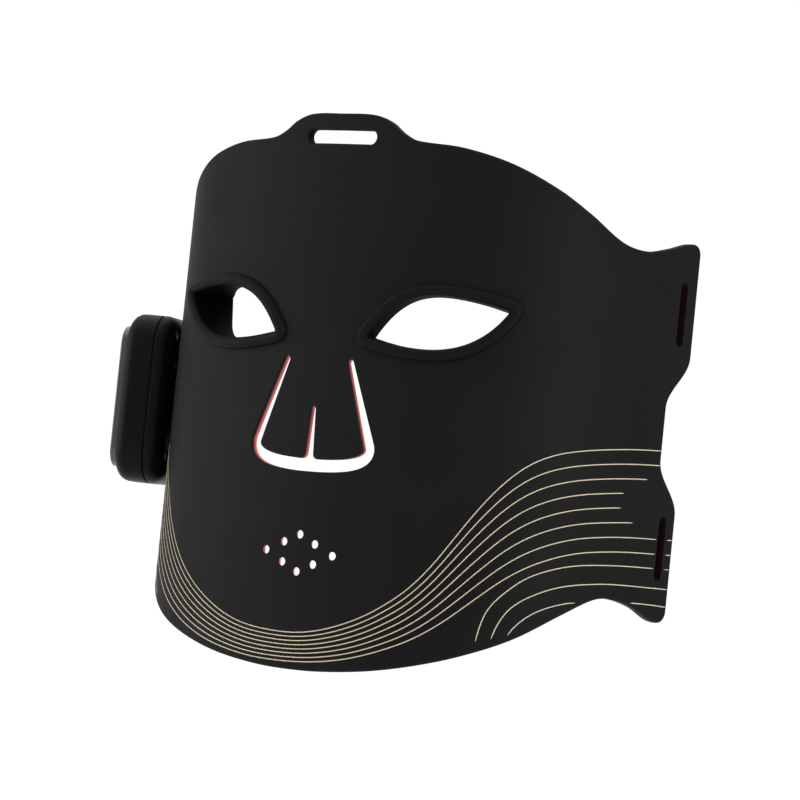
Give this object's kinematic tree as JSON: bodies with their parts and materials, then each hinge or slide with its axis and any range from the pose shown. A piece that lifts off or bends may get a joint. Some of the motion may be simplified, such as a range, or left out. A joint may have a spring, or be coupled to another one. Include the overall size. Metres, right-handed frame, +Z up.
{
  "type": "led face mask",
  "caption": "Flexible curved light-therapy face mask with clip-in eye shields, slit nose, breathing holes, strap slots and a side control box.",
  "frame": {"origin": "on the skin face of the sheet at the nose bridge, on the centre line, at the height of the middle of the eye openings", "axes": "+X towards the wearer's left, -Y forward out of the face, +Z up"},
  "size_m": [0.2443, 0.0882, 0.2108],
  "materials": {
    "black_silicone": "satin",
    "shield_silicone": "satin",
    "liner_silicone": "satin",
    "circuit_film": "satin",
    "light_package": "gloss",
    "pad_rubber": "matte",
    "case_plastic": "satin",
    "plate_plastic": "gloss",
    "seal_rubber": "matte",
    "screw_steel": "brushed",
    "button_plastic": "satin",
    "switch_plastic": "matte",
    "light_guide": "gloss",
    "board_laminate": "satin",
    "cell_foil": "satin",
    "foam": "matte",
    "port_metal": "brushed"
  },
  "bodies": {
    "mask": {"outer_shell": "black_silicone", "inner_liner": "liner_silicone", "eye_shield_left": "shield_silicone", "eye_shield_right": "shield_silicone", "board_forehead": "circuit_film", "board_cheek_left": "circuit_film", "board_cheek_right": "circuit_film", "board_chin": "circuit_film", "board_nose": "circuit_film", "lights_forehead": "light_package", "lights_cheek_left": "light_package", "lights_cheek_right": "light_package", "lights_chin": "light_package", "lights_nose": "light_package", "mounting_pads": "pad_rubber", "retaining_plate": "case_plastic", "retaining_screws": "screw_steel", "back_case": "case_plastic", "case_seal": "seal_rubber", "front_case": "case_plastic", "case_screws": "screw_steel", "face_plate": "plate_plastic", "button_switch": "switch_plastic", "status_light": "light_guide", "control_board": "board_laminate", "battery_cell": "cell_foil", "battery_pad": "foam", "charge_port": "port_metal", "ribbon_tail": "circuit_film"},
    "power_button": {"power_button": "button_plastic"},
    "port_cover": {"port_cover": "case_plastic"}
  },
  "joints": [
    {"name": "power_button_press", "type": "slide", "parent": "mask", "child": "power_button", "axis": [0.9352, 0.354, 0], "range_m": [0, 0.0008], "stiffness_N_per_m": 400, "springref_m": -0.0005},
    {"name": "port_cover_hinge", "type": "hinge", "parent": "mask", "child": "port_cover", "pos_m": [-0.11473, 0.04925, -0.067], "axis": [0.354, -0.9352, 0], "range_deg": [0, 95]}
  ]
}
